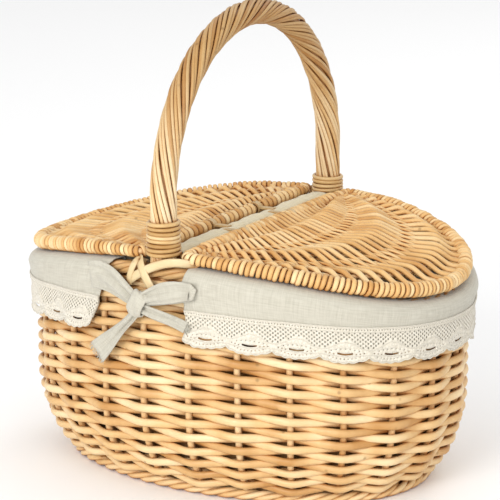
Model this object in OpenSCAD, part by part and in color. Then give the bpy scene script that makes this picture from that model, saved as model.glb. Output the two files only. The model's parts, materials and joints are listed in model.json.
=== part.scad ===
// Oval wicker picnic basket with two hinged lids, a roped hoop handle and a linen liner.
// X runs along the basket, Y across it and Z up. The origin is under the middle of the base.
// All round shapes that bend along the basket follow one four-centred oval, the rim.

/* [Rim oval] */
// Half length of the rim
rim_half_length = 198; // [195:1:205]
// Half width of the rim
rim_half_width = 146; // [143:1:150]
// Radius of the rim at its two ends
rim_end_radius = 128; // [124:1:130]

/* [Crown] */
// Height of the lids' middle surface over the handle line
crown_height = 211; // [205:1:215]
// Radius of the arch that the rim and the lids follow from end to end
crown_radius = 650; // [620:10:700]

/* [Wall] */
// Height at which the upright wall starts to bend in towards the base
bend_height = 75; // [72:1:78]
// Radius of that bend
bend_radius = 92; // [88:1:96]
// Thickness of the woven wall
wall_thickness = 12; // [11:0.5:13]
// Distance from the rim in to the middle of the wall
wall_inset = 9; // [8.5:0.5:10]
// Height of one row of the weave
row_pitch = 8.2; // [7.8:0.1:8.6]
// Upright stakes in each quarter of the oval
stakes_per_quarter = 6; // [5:1:7]
// Radius of one stake
stake_radius = 2.5; // [2:0.1:3]

/* [Base] */
// Height of the foot wale that the basket stands on
foot_height = 8; // [7:0.5:9]
// Thickness of the woven base
base_thickness = 11; // [10.5:0.5:12]
// Radius of one base stick
base_stick_radius = 3.5; // [3:0.1:4]
// Distance between two base sticks
base_stick_pitch = 26; // [24:1:28]

/* [Top edge] */
// Depth of the rolled border
border_depth = 12; // [11:0.5:13]
// Width of the rolled border
border_width = 17; // [16:0.5:17]
// Depth of the wale under the border
wale_depth = 14; // [12:1:16]

/* [Handle] */
// Distance from the middle of the basket to each handle leg
leg_y = 138; // [136:1:140]
// Height at which the legs turn into the arch
arch_height = 253; // [245:1:260]
// Radius of the roped handle
handle_radius = 11; // [10:0.5:11.5]
// Radius of the core rod inside the roping
core_radius = 4; // [3.5:0.1:4]
// Lowest point of the core rod, inside the wall
core_foot = 100; // [98:1:120]
// Rings of cane in the binding on the front leg
front_rings = 8; // [6:1:9]
// Rings of cane in the binding on the back leg
back_rings = 5; // [4:1:9]

/* [Lids] */
// Distance from the handle line to each hinge rod
hinge_x = 20; // [20:0.5:22]
// Thickness of the lid's wrapped edge
lid_edge = 11; // [9:0.5:11]
// Thickness of the lid's woven panel
lid_panel = 6; // [5:0.5:7]
// Radius of the hinge rod
hinge_rod_radius = 4; // [3.5:0.1:4]
// Curved ribs in each lid
lid_ribs = 5; // [4:1:6]
// Distance of the hinge loops from the middle of the lid
loop_y = 38; // [30:1:60]

/* [Linen and lace] */
// Thickness of the linen liner
linen = 1.4; // [1.2:0.1:1.5]
// Height of the seam between the linen skirt and the lace, at the handle line
seam_height = 169; // [166:1:174]
// Radius of the flat arch that the seam and the lace's edge follow from end to end
seam_radius = 1450; // [1200:50:2000]
// Depth of the lace below the seam
lace_depth = 31; // [28:1:34]
// Where the right skirt ends beside the handle
gap_right = 26; // [24:1:40]
// Where the left skirt ends beside the handle
gap_left = 48; // [40:1:52]

/* [Hidden] */
$fn = 96;

willow = "#d9a25c";
willow_light = "#e6bd80";
cane = "#efd9a8";
linen_grey = "#d9d3c6";
lace_cream = "#f1ead9";

// The four-centred oval: two end arcs and two flatter side arcs that meet without a corner
end_centre = rim_half_length - rim_end_radius;
side_gap = rim_half_width - rim_end_radius;
side_centre = (pow(end_centre, 2) - pow(side_gap, 2)) / (2 * side_gap);
side_radius = rim_half_width + side_centre;
join_angle = atan2(side_centre, end_centre);

// The crown is a cylinder along Y, so the rim and the lids are highest at the handle
crown_z = crown_height - crown_radius;
lid_low = crown_radius - lid_edge / 2;
border_top = lid_low - 3.5;
border_low = border_top - border_depth;
wale_low = border_low - wale_depth;
skirt_top = border_top + 0.1;
border_top_z = crown_z + border_top;

row_step = 0.5;
wall_in = wall_inset + wall_thickness / 2;
bag_out = border_width + 0.1;
foot_out = 31;
foot_in = 41;
base_low = 3;
tall = 400;

handle_foot = border_top_z;
ring_pitch = 3.5;
ring_radius = 1.8;
ring_centre = handle_radius + 1.2;
foot_room = ring_centre + ring_radius + 0.4;
front_ring_z = handle_foot + 6;
back_ring_z = handle_foot + 3;

bar_half = 3;
bar_radius = 7;
hinge_z = crown_z + sqrt(pow(crown_radius, 2) - pow(hinge_x, 2));
loop_clear = 0.6;
loop_band = 1.6;
loop_width = 6;
loop_outer = hinge_rod_radius + loop_clear + loop_band;
bar_top = hinge_z + 1;
bar_z = bar_top - bar_radius;
rib_half = 3.8;
rib_width = 4.4;

// Everything inside the rim oval grown by d
module oval(d) {
    radius = rim_end_radius + d;
    join_x = end_centre + radius * cos(join_angle);
    for (s = [-1, 1])
        translate([s * end_centre, 0]) circle(radius);
    intersection() {
        translate([0, -side_centre]) circle(side_radius + d, $fn = 240);
        translate([0, side_centre]) circle(side_radius + d, $fn = 240);
        square([2 * join_x, tall], center = true);
    }
}

// A flat band along the oval, from d_in to d_out beyond the rim
module oval_band(d_in, d_out) {
    difference() {
        oval(d_out);
        oval(d_in);
    }
}

// Everything under an arch along Y with its middle at mid_z
module under_arch(mid_z, radius) {
    translate([0, 0, mid_z]) rotate([90, 0, 0]) cylinder(r = radius, h = tall, center = true, $fn = 480);
}

// Everything under the crown surface of the given radius
module under_crown(radius) {
    under_arch(crown_z, radius);
}

// Everything under the seam of the skirt, lowered by drop
module under_seam(drop) {
    under_arch(seam_height - seam_radius - drop, seam_radius);
}

// A 2D outline standing between two crown surfaces
module crown_layer(low, high) {
    intersection() {
        translate([0, 0, 100]) linear_extrude(200) children();
        difference() {
            under_crown(high);
            under_crown(low);
        }
    }
}

// Keeps the part of a 2D outline that lies beyond x on the right
module right_of(x) {
    intersection() {
        children();
        translate([x, -tall / 2]) square([tall, tall]);
    }
}

module mirror_left() {
    mirror([1, 0, 0]) children();
}

// ---- Base ----

module foot_wale() {
    color(willow) linear_extrude(foot_height) oval_band(-foot_in, -foot_out);
}

module base_sticks() {
    mid_z = base_low + base_thickness / 2;
    color(willow_light) intersection() {
        union() {
            for (i = [-3:3])
                translate([0, i * base_stick_pitch, mid_z]) rotate([0, 90, 0])
                    cylinder(r = base_stick_radius, h = tall, center = true, $fn = 32);
            for (i = [-5:5])
                translate([i * base_stick_pitch, 0, mid_z]) rotate([90, 0, 0])
                    cylinder(r = base_stick_radius, h = tall, center = true, $fn = 32);
        }
        linear_extrude(30) oval(-foot_in - 2);
    }
}

module base_weave() {
    color(willow) translate([0, 0, base_low]) linear_extrude(base_thickness) oval(-foot_in);
}

// ---- Wall ----

// Distance of the middle of the wall from the rim: upright above bend_height, bending in below it
function wall_offset(z) = z >= bend_height
    ? -wall_inset
    : -wall_inset - bend_radius + sqrt(pow(bend_radius, 2) - pow(bend_height - z, 2));

// Bottom of a row of weave
function row_z(i) = foot_height + i * row_pitch;
row_count = ceil((crown_z + wale_low - foot_height) / row_pitch);

// The rows step in and out by turns, as weavers do in front of and behind the stakes
module siding() {
    color(willow) intersection() {
        for (i = [0:row_count - 1]) {
            d = wall_offset(row_z(i + 0.5)) + (i % 2 == 0 ? row_step : -row_step);
            translate([0, 0, row_z(i)]) linear_extrude(row_pitch)
                oval_band(d - wall_thickness / 2, d + wall_thickness / 2);
        }
        under_crown(wale_low);
    }
}

function quarter_side() = (side_radius - wall_inset) * (90 - join_angle) * PI / 180;
function quarter_end() = (rim_end_radius - wall_inset) * join_angle * PI / 180;

// Direction out of the wall at a distance along the quarter, from the handle line to the end
function wall_angle(run) = run < quarter_side()
    ? 90 - run / (side_radius - wall_inset) * 180 / PI
    : join_angle - (run - quarter_side()) / (rim_end_radius - wall_inset) * 180 / PI;

// Place in the middle of the wall at the same distance
function wall_point(run) = run < quarter_side()
    ? [0, -side_centre] + (side_radius - wall_inset) * [cos(wall_angle(run)), sin(wall_angle(run))]
    : [end_centre, 0] + (rim_end_radius - wall_inset) * [cos(wall_angle(run)), sin(wall_angle(run))];

// One stake: a tail in the base, a bend pared a little thinner, and an upright up to top_z
module stake(top_z) {
    bent_radius = stake_radius - 0.1;
    tail_z = foot_height + stake_radius;
    bend = asin((bend_height - tail_z) / bend_radius);
    tail_x = bend_radius * (cos(bend) - 1);
    translate([0, 0, bend_height - 1.5])
        cylinder(r = stake_radius, h = top_z - bend_height + 1.5, $fn = 24);
    translate([-bend_radius, 0, bend_height]) rotate([90, 0, 0]) rotate([0, 0, -bend])
        rotate_extrude(angle = bend) translate([bend_radius, 0]) circle(bent_radius, $fn = 24);
    translate([tail_x + 2, 0, tail_z]) rotate([0, -90, 0]) cylinder(r = bent_radius, h = 28, $fn = 24);
}

module stakes() {
    pitch = (quarter_side() + quarter_end()) / stakes_per_quarter;
    color(willow_light) for (flip_x = [0, 1], flip_y = [0, 1], i = [0:stakes_per_quarter - 1]) {
        run = (i + 0.5) * pitch;
        place = wall_point(run);
        top_z = crown_z + sqrt(pow(border_top - 3, 2) - pow(place.x, 2));
        mirror([flip_x, 0, 0]) mirror([0, flip_y, 0]) translate([place.x, place.y, 0])
            rotate([0, 0, wall_angle(run)]) stake(top_z);
    }
}

module top_wale() {
    color(willow) crown_layer(wale_low, border_low) oval_band(-wall_in - 1, -wall_in + wall_thickness + 1);
}

module border() {
    color(willow_light) crown_layer(border_low, border_top) oval_band(-border_width, 0);
}

// ---- Middle bar and hinge loops ----

// Section of the bar, with round edges
module bar_section(radius) {
    square([2 * bar_half, 2 * radius], center = true);
    for (s = [-1, 1])
        translate([s * bar_half, 0]) circle(radius, $fn = 48);
}

module along_bar(length) {
    translate([0, 0, bar_z]) rotate([90, 0, 0]) linear_extrude(length, center = true) children();
}

// The bar's ends are pared down on top, so they pass under the handle's roping into the border
module crossbar() {
    color(willow_light) difference() {
        along_bar(2 * (leg_y - core_radius - 0.2)) bar_section(bar_radius);
        for (s = [-1, 1])
            translate([0, s * leg_y, handle_foot - 0.3]) cylinder(r = foot_room, h = 20);
    }
}

// The four places where a loop ties a hinge rod to the bar: side and distance along the bar
loop_places = [[1, loop_y - 5], [1, -loop_y - 5], [-1, loop_y + 5], [-1, -loop_y + 5]];

module crossbar_sleeve() {
    color(linen_grey) difference() {
        along_bar(2 * (leg_y - foot_room)) difference() {
            bar_section(bar_radius + 1.1);
            bar_section(bar_radius + 0.05);
        }
        for (p = loop_places)
            translate([p[0] * 10, p[1], bar_top + 2]) cube([20.4, loop_width + 0.6, 4.2], center = true);
    }
}

module hinge_loops() {
    color(cane) for (p = loop_places)
        translate([0, p[1], 0]) difference() {
            union() {
                translate([p[0] * hinge_x, 0, hinge_z]) rotate([90, 0, 0])
                    cylinder(r = loop_outer, h = loop_width, center = true);
                translate([p[0] * (hinge_x / 2 + 0.25), 0, bar_top + loop_band / 2])
                    cube([hinge_x - 0.5, loop_width, loop_band], center = true);
            }
            translate([p[0] * hinge_x, 0, hinge_z]) rotate([90, 0, 0])
                cylinder(r = hinge_rod_radius + loop_clear, h = loop_width + 1, center = true);
        }
}

// ---- Handle ----

// Carries a round section up one leg, over the arch and down the other leg
module along_handle(foot_z) {
    translate([0, 0, arch_height]) rotate([90, 0, 90])
        rotate_extrude(angle = 180) translate([leg_y, 0]) children();
    for (s = [-1, 1])
        translate([0, s * leg_y, foot_z]) linear_extrude(arch_height - foot_z) children();
}

module handle_core() {
    color(willow_light) along_handle(core_foot) circle(core_radius, $fn = 48);
}

module handle_roping() {
    color(willow) along_handle(handle_foot) difference() {
        circle(handle_radius);
        circle(core_radius, $fn = 48);
    }
}

module binding_rings(count) {
    for (i = [0:count - 1])
        translate([0, 0, i * ring_pitch])
            rotate_extrude() translate([ring_centre, 0]) circle(ring_radius, $fn = 32);
}

module handle_binding_front() {
    color(cane) translate([0, -leg_y, front_ring_z]) binding_rings(front_rings);
}

module handle_binding_back() {
    color(cane) translate([0, leg_y, back_ring_z]) binding_rings(back_rings);
}

// Two flat canes that cross on the border under a handle leg
module cross_tie() {
    intersection() {
        translate([0, 0, 150]) linear_extrude(border_top_z - 150.5) oval_band(0.1, 1.3);
        translate([0, -rim_half_width, border_top_z - 16]) for (s = [-1, 1])
            rotate([0, s * 50, 0]) cube([6, 20, 56], center = true);
    }
}

module cross_tie_front() {
    color(cane) cross_tie();
}

module cross_tie_back() {
    color(cane) rotate([0, 0, 180]) cross_tie();
}

// ---- Linen liner ----

// Inner face of the wall's rows at a row, with room for the linen
function bag_offset(i) = min(-bag_out, wall_offset(row_z(i + 0.5)) - wall_thickness / 2 - row_step - 0.3);

module liner_bag() {
    floor_z = base_low + base_thickness + 0.3;
    bend_rows = ceil((bend_height - foot_height) / row_pitch);
    color(linen_grey) difference() {
        union() {
            translate([0, 0, floor_z]) linear_extrude(row_z(1) - floor_z) oval(bag_offset(0));
            for (i = [1:bend_rows])
                translate([0, 0, row_z(i)]) linear_extrude(row_pitch)
                    oval_band(bag_offset(i - 1) - linen, bag_offset(i));
            intersection() {
                translate([0, 0, row_z(bend_rows + 1)])
                    linear_extrude(200) oval_band(-bag_out - linen, -bag_out);
                under_crown(border_top);
            }
        }
        along_bar(tall) bar_section(bar_radius + 0.1);
    }
}

// Linen folded over the border and hanging outside it
module skirt(gap) {
    crown_layer(skirt_top, skirt_top + linen) right_of(gap) oval_band(-bag_out - linen, 0.6);
    difference() {
        intersection() {
            translate([0, 0, 100]) linear_extrude(200) right_of(gap) oval_band(0.6, 4.2);
            under_crown(skirt_top + linen);
        }
        under_seam(0);
    }
}

module liner_skirt_right() {
    color(linen_grey) skirt(gap_right);
}

module liner_skirt_left() {
    color(linen_grey) mirror_left() skirt(gap_left);
}

module lace(gap) {
    difference() {
        intersection() {
            translate([0, 0, 100]) linear_extrude(200) right_of(gap) oval_band(1.2, 3.4);
            under_seam(0);
        }
        under_seam(lace_depth);
    }
}

module lace_right() {
    color(lace_cream) lace(gap_right);
}

module lace_left() {
    color(lace_cream) mirror_left() lace(gap_left);
}

// Places in front of the basket, as [x, z]: the knot, and the far end and width of each strip tied in it
knot = [-15, 171];
knot_radius = 6.5;
strips = [[[-52, 189], 20], [[34, 187], 19], [[27, 156], 10], [[-61, 122], 15]];

// A flat ribbon seen from the front, from the knot to its far end
module ribbon(to, width) {
    run = to - knot;
    translate([knot.x, 0, knot.y]) rotate([0, -atan2(run.y, run.x), 0])
        translate([0, -tall / 2, -width / 2]) cube([norm(run), tall / 2, width]);
}

// The corner of the left skirt, the bow's loop, the two loose ends and the knot over them
module tie_bow() {
    for (strip = strips)
        intersection() {
            translate([0, 0, 80]) linear_extrude(160) oval_band(4.6, 8);
            ribbon(strip[0], strip[1]);
        }
    translate([knot.x, -rim_half_width - knot_radius - 2, knot.y]) sphere(knot_radius);
}

module tie_bow_front() {
    color(linen_grey) tie_bow();
}

module tie_bow_back() {
    color(linen_grey) rotate([0, 0, 180]) tie_bow();
}

// ---- Lids, drawn on the right and mirrored for the left ----

hoop_in = 8;
hoop_out = 3;
wrap_radius = hinge_rod_radius + 1.2;

module hinge_rod(radius) {
    translate([hinge_x, 0, hinge_z]) rotate([90, 0, 0])
        cylinder(r = radius, h = 2 * (rim_half_width - hoop_in), center = true, $fn = 48);
}

// Room round the hinge rod where a loop holds it
module loop_room(side) {
    for (p = loop_places)
        if (p[0] == side)
            translate([hinge_x, p[1], hinge_z]) rotate([90, 0, 0])
                cylinder(r = loop_outer + 1.2, h = loop_width + 2, center = true, $fn = 48);
}

module lid_hoop() {
    crown_layer(crown_radius - 2.5, crown_radius + 2.5) right_of(hinge_x) oval_band(-hoop_in, -hoop_out);
}

module lid_rim() {
    lid_hoop();
    hinge_rod(hinge_rod_radius);
}

module lid_rib_set() {
    half = rim_half_width - hoop_in - 3;
    reach = rim_half_length - hoop_in - hinge_x;
    crown_layer(crown_radius - rib_half, crown_radius + rib_half) right_of(hinge_x + wrap_radius + 0.2)
        intersection() {
            oval(-hoop_in - 2.2);
            for (i = [1:lid_ribs]) {
                bulge = i * reach / (lid_ribs + 1);
                bow = (pow(half, 2) + pow(bulge, 2)) / (2 * bulge);
                translate([hinge_x + bulge - bow, 0]) difference() {
                    circle(bow + rib_width / 2, $fn = 240);
                    circle(bow - rib_width / 2, $fn = 240);
                }
            }
        }
}

module lid_panel_weave(side) {
    difference() {
        union() {
            crown_layer(crown_radius - lid_panel / 2, crown_radius + lid_panel / 2)
                right_of(hinge_x) oval(-hoop_in - 2);
            intersection() {
                hinge_rod(wrap_radius);
                translate([0, 0, 100]) linear_extrude(200) oval(-hoop_in - 2);
            }
        }
        hinge_rod(hinge_rod_radius);
        loop_room(side);
    }
}

module lid_edge_binding() {
    difference() {
        crown_layer(lid_low, lid_low + lid_edge) right_of(hinge_x) oval_band(-hoop_in - 2, 0);
        lid_hoop();
        hinge_rod(hinge_rod_radius);
    }
}

module lid_right_rim() {
    color(willow_light) lid_rim();
}

module lid_right_ribs() {
    color(willow_light) lid_rib_set();
}

module lid_right_weave() {
    color(willow) lid_panel_weave(1);
}

module lid_right_binding() {
    color(willow) lid_edge_binding();
}

module lid_left_rim() {
    color(willow_light) mirror_left() lid_rim();
}

module lid_left_ribs() {
    color(willow_light) mirror_left() lid_rib_set();
}

module lid_left_weave() {
    color(willow) mirror_left() lid_panel_weave(-1);
}

module lid_left_binding() {
    color(willow) mirror_left() lid_edge_binding();
}

foot_wale();
base_sticks();
base_weave();
stakes();
siding();
top_wale();
border();
crossbar();
crossbar_sleeve();
hinge_loops();
handle_core();
handle_roping();
handle_binding_front();
handle_binding_back();
cross_tie_front();
cross_tie_back();
liner_bag();
liner_skirt_right();
liner_skirt_left();
lace_right();
lace_left();
tie_bow_front();
tie_bow_back();
lid_right_rim();
lid_right_ribs();
lid_right_weave();
lid_right_binding();
lid_left_rim();
lid_left_ribs();
lid_left_weave();
lid_left_binding();
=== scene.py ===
"""The looks of the wicker picnic basket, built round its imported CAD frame. Metres, in the row frame."""
import json
import math

import bpy
import numpy as np
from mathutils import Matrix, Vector
from mathutils.geometry import delaunay_2d_cdt


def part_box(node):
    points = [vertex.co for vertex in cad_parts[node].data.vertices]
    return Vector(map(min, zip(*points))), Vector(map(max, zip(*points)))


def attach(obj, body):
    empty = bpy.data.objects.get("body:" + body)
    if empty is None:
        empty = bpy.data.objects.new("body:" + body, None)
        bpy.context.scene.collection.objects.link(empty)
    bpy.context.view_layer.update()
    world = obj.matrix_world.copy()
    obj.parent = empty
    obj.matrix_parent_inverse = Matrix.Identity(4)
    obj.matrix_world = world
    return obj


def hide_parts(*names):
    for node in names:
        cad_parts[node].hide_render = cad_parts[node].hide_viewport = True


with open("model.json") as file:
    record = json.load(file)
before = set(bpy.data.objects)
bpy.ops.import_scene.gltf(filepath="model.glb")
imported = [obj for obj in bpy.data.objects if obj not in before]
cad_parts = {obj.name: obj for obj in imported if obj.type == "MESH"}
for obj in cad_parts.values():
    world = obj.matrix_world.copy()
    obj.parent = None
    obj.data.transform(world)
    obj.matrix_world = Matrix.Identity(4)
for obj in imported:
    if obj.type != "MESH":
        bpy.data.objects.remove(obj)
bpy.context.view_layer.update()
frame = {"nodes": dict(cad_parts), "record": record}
rng = np.random.default_rng(20)
MM = 0.001
TAU = 2 * math.pi
UP = np.array([0.0, 0.0, 1.0])

# ---------------------------------------------------------------- the frame's driving sizes
#
# run: length along the wall's oval, from the front handle line towards +X and on round
# growth: distance outward from the rim's oval, so inside it is negative
# drop: distance down from the border's top
# The border, the wale and the lids follow crowns: long cylinders across the basket, round one axis.

JOINTS = {j["name"]: j for j in frame["record"]["behaviour"]["joints"]}
HINGE_X, _, HINGE_Z = JOINTS["lid_right_hinge"]["pos_m"]
CROWN_R = 650 * MM
CROWN_Z = HINGE_Z - math.sqrt(CROWN_R ** 2 - HINGE_X ** 2)
HALF_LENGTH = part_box("border")[1].x
HALF_WIDTH = 146 * MM
END_RADIUS = 128 * MM
END_CENTRE = HALF_LENGTH - END_RADIUS
SIDE_GAP = HALF_WIDTH - END_RADIUS
SIDE_CENTRE = (END_CENTRE ** 2 - SIDE_GAP ** 2) / (2 * SIDE_GAP)
SIDE_RADIUS = HALF_WIDTH + SIDE_CENTRE
JOIN = math.atan2(SIDE_CENTRE, END_CENTRE)

# The wall: its growth, and the bend at its foot down to where the stakes start.
WALL = -9 * MM
BEND_HEIGHT = 75 * MM
BEND_RADIUS = 92 * MM
STAKE_FOOT = 10.5 * MM
BEND = math.asin((BEND_HEIGHT - STAKE_FOOT) / BEND_RADIUS)
BEND_LENGTH = BEND_RADIUS * BEND
SIDE_RUN = (SIDE_RADIUS + WALL) * (math.pi / 2 - JOIN)
END_RUN = (END_RADIUS + WALL) * JOIN
QUARTER = SIDE_RUN + END_RUN
ROUND = 4 * QUARTER
STAKES = 24
STAKE_PITCH = ROUND / STAKES

# Crown radii, and the flatter arc of the seam between the skirts and the lace.
BORDER_TOP = 641 * MM
BORDER_MIDDLE = 635 * MM
WALE_ROWS = (618 * MM, 622.4 * MM, 626.8 * MM)
WALE_LOW = 615 * MM
SEAM_HEIGHT = 169 * MM
SEAM_RADIUS = 1450 * MM

# The handle: its legs' middle line, the height where they turn into the arch, and its feet.
LEG_Y = 138 * MM
ARCH_Z = 253 * MM
HANDLE_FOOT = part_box("handle_roping")[0].z
CORE_FOOT = 172 * MM


def quarter_at(u):
    """Rim point and outward direction at a run u from the handle line to the end, in the first quadrant."""
    a = u / (SIDE_RADIUS + WALL)
    b = JOIN - (u - SIDE_RUN) / (END_RADIUS + WALL)
    side = u < SIDE_RUN
    nx = np.where(side, np.sin(a), np.cos(b))
    ny = np.where(side, np.cos(a), np.sin(b))
    x = np.where(side, SIDE_RADIUS * nx, END_CENTRE + END_RADIUS * nx)
    y = np.where(side, SIDE_RADIUS * ny - SIDE_CENTRE, END_RADIUS * ny)
    return x, y, nx, ny


def oval_at(run):
    """Rim points and outward directions at runs along the wall, from the front handle line towards +X."""
    run = np.mod(np.asarray(run, float), ROUND)
    q = np.floor(run / QUARTER).astype(int) % 4
    u = run - q * QUARTER
    u = np.where(q % 2 == 1, QUARTER - u, u)
    x, y, nx, ny = quarter_at(u)
    sx = np.where(q < 2, 1, -1)
    sy = np.where((q == 0) | (q == 3), -1, 1)
    zero = np.zeros_like(x)
    return np.stack([sx * x, sy * y, zero], -1), np.stack([sx * nx, sy * ny, zero], -1)


def all_round(steps):
    """Runs all the way round the oval, with their rim points and outward directions."""
    run = np.linspace(0, ROUND, steps, endpoint=False)
    return run, *oval_at(run)


def placed(p, n, growth, z):
    """Rim points moved outward by a growth and up to a height. From 0 it makes directions the same way."""
    point = p + n * np.asarray(growth)[..., None]
    point[..., 2] = z
    return point


def crown(x, radius):
    """Height of a crown surface at x."""
    return CROWN_Z + np.sqrt(radius ** 2 - x ** 2)


def wall_at(w):
    """Growth, height and outward direction in the radial plane at a distance w up the wall."""
    phi = np.clip(BEND - w / BEND_RADIUS, 0, None)
    d = WALL + BEND_RADIUS * (np.cos(phi) - 1)
    z = np.where(w < BEND_LENGTH, BEND_HEIGHT - BEND_RADIUS * np.sin(phi), BEND_HEIGHT + w - BEND_LENGTH)
    return d, z, np.cos(phi), -np.sin(phi)


def wall_length(x, radius):
    """Length up the wall at x, from the stake's foot to a crown surface."""
    return BEND_LENGTH + crown(x, radius) - BEND_HEIGHT


def unit(v):
    """Directions of length 1."""
    return v / np.maximum(np.linalg.norm(v, axis=-1, keepdims=True), 1e-12)


def lengths_along(points):
    """Length along a line at each of its points."""
    return np.concatenate([[0], np.cumsum(np.linalg.norm(np.diff(points, axis=0), axis=1))])


def points_at(at, along, points):
    """A line's points at other places along it than its own."""
    return np.stack([np.interp(at, along, column) for column in points.T], -1)


def blur(width):
    """Weights that round a line over this many points."""
    window = np.hanning(width + 2)[1:-1]
    return window / window.sum()


def waves(s, *terms):
    """A sum of sines: terms are (amplitude, wavelength, phase)."""
    return sum(a * np.sin(TAU * s / length + phase) for a, length, phase in terms)


# ---------------------------------------------------------------- mesh making

def make_mesh(name, points, faces, uv, material, tint=None):
    """A smooth object with a map along its grain, in metres, and for rods a tint at each point."""
    mesh = bpy.data.meshes.new(name)
    mesh.from_pydata(points, [], faces)
    layer = mesh.uv_layers.new(name="grain")
    layer.data.foreach_set("uv", uv.astype(np.float32).ravel())
    if tint is not None:
        attribute = mesh.attributes.new("tint", "FLOAT", "POINT")
        attribute.data.foreach_set("value", tint.astype(np.float32))
    mesh.polygons.foreach_set("use_smooth", np.ones(len(mesh.polygons), bool))
    mesh.materials.append(material)
    mesh.update()
    obj = bpy.data.objects.new(name, mesh)
    bpy.context.scene.collection.objects.link(obj)
    return obj


def quad_map(a0, a1, b0, b1):
    """The map's corners for quads that reach from a0 to a1 and from b0 to b1."""
    return np.stack([np.stack(pair, -1) for pair in ((a0, b0), (a1, b0), (a1, b1), (a0, b1))], -2)


class Rods:
    """Collects round or flat rods into one mesh, with a tint for each rod and a map along its grain."""

    def __init__(self):
        self.co, self.faces, self.uv, self.tint, self.count = [], [], [], [], 0

    def add(self, points, ups, wide, thick=None, tint=None, sides=8, closed=False):
        """Sweeps an oval section along points. thick is its radius along ups, wide across them."""
        p = np.asarray(points, float)
        n = len(p)
        if closed:
            t = unit(np.roll(p, -1, 0) - np.roll(p, 1, 0))
        else:
            t = unit(np.gradient(p, axis=0))
        across = unit(np.cross(t, ups))
        up = np.cross(across, t)
        wide = np.broadcast_to(wide, (n,))
        thick = wide if thick is None else np.broadcast_to(thick, (n,))
        ang = TAU * (np.arange(sides) + 0.5) / sides
        ring = (p[:, None] + up[:, None] * (thick[:, None] * np.sin(ang))[..., None]
                + across[:, None] * (wide[:, None] * np.cos(ang))[..., None])
        length = lengths_along(p)
        rows = n if closed else n - 1
        i, k = np.meshgrid(np.arange(rows), np.arange(sides), indexing="ij")
        j, m = (i + 1) % n, (k + 1) % sides
        quads = np.stack([i * sides + k, j * sides + k, j * sides + m, i * sides + m], -1).reshape(-1, 4)
        step = length[1] - length[0]
        uv = quad_map(length[i], length[i] + step, k / sides, (k + 1) / sides)[..., ::-1]
        self.co.append(ring.reshape(-1, 3))
        self.faces.extend((quads + self.count).tolist())
        self.uv.append(uv.reshape(-1, 2))
        if not closed:
            for cap in (range(sides)[::-1], range((n - 1) * sides, n * sides)):
                self.faces.append([self.count + c for c in cap])
                self.uv.append(np.tile([[0.5, 0.0]], (sides, 1)))
        tint = rng.random() if tint is None else tint
        self.tint.append(np.repeat(np.broadcast_to(tint, (n,)), sides))
        self.count += n * sides

    def build(self, name, material):
        return make_mesh(name, np.concatenate(self.co), self.faces, np.concatenate(self.uv), material,
                         np.concatenate(self.tint))


def settle(obj, body, slot, *nodes):
    """Gives a finished piece its body and hides the CAD nodes that it stands for. Its slot is not used."""
    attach(obj, body)
    if nodes:
        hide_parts(*nodes)
    return obj


def thicken(obj, thickness):
    """Turns a surface into a closed sheet of cloth. Its second material, if any, goes on its far side."""
    solid = obj.modifiers.new("solid", "SOLIDIFY")
    solid.thickness = thickness
    solid.offset = 0.0
    solid.use_even_offset = False
    solid.material_offset = len(obj.data.materials) - 1
    graph = bpy.context.evaluated_depsgraph_get()
    mesh = bpy.data.meshes.new_from_object(obj.evaluated_get(graph))
    obj.modifiers.clear()
    obj.data = mesh
    return obj


def cloth(name, grid, material, thickness=0.8 * MM, closed=False, far_side=None):
    """A sheet from a grid of points, mapped by its real lengths."""
    g = np.asarray(grid, float)
    rows, cols = g.shape[:2]
    along = np.concatenate([[0], np.cumsum(np.linalg.norm(np.diff(g, axis=0), axis=2).mean(1))])
    across = np.concatenate([[0], np.cumsum(np.linalg.norm(np.diff(g, axis=1), axis=2).mean(0))])
    i, k = np.meshgrid(np.arange(rows if closed else rows - 1), np.arange(cols - 1), indexing="ij")
    j = (i + 1) % rows
    quads = np.stack([i * cols + k, j * cols + k, j * cols + k + 1, i * cols + k + 1], -1).reshape(-1, 4)
    uv = quad_map(along[i], along[i] + along[1] - along[0], across[k], across[k + 1])
    obj = make_mesh(name, g.reshape(-1, 3), quads.tolist(), uv, material)
    if far_side:
        obj.data.materials.append(far_side)
    return thicken(obj, thickness)


# ---------------------------------------------------------------- materials

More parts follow.
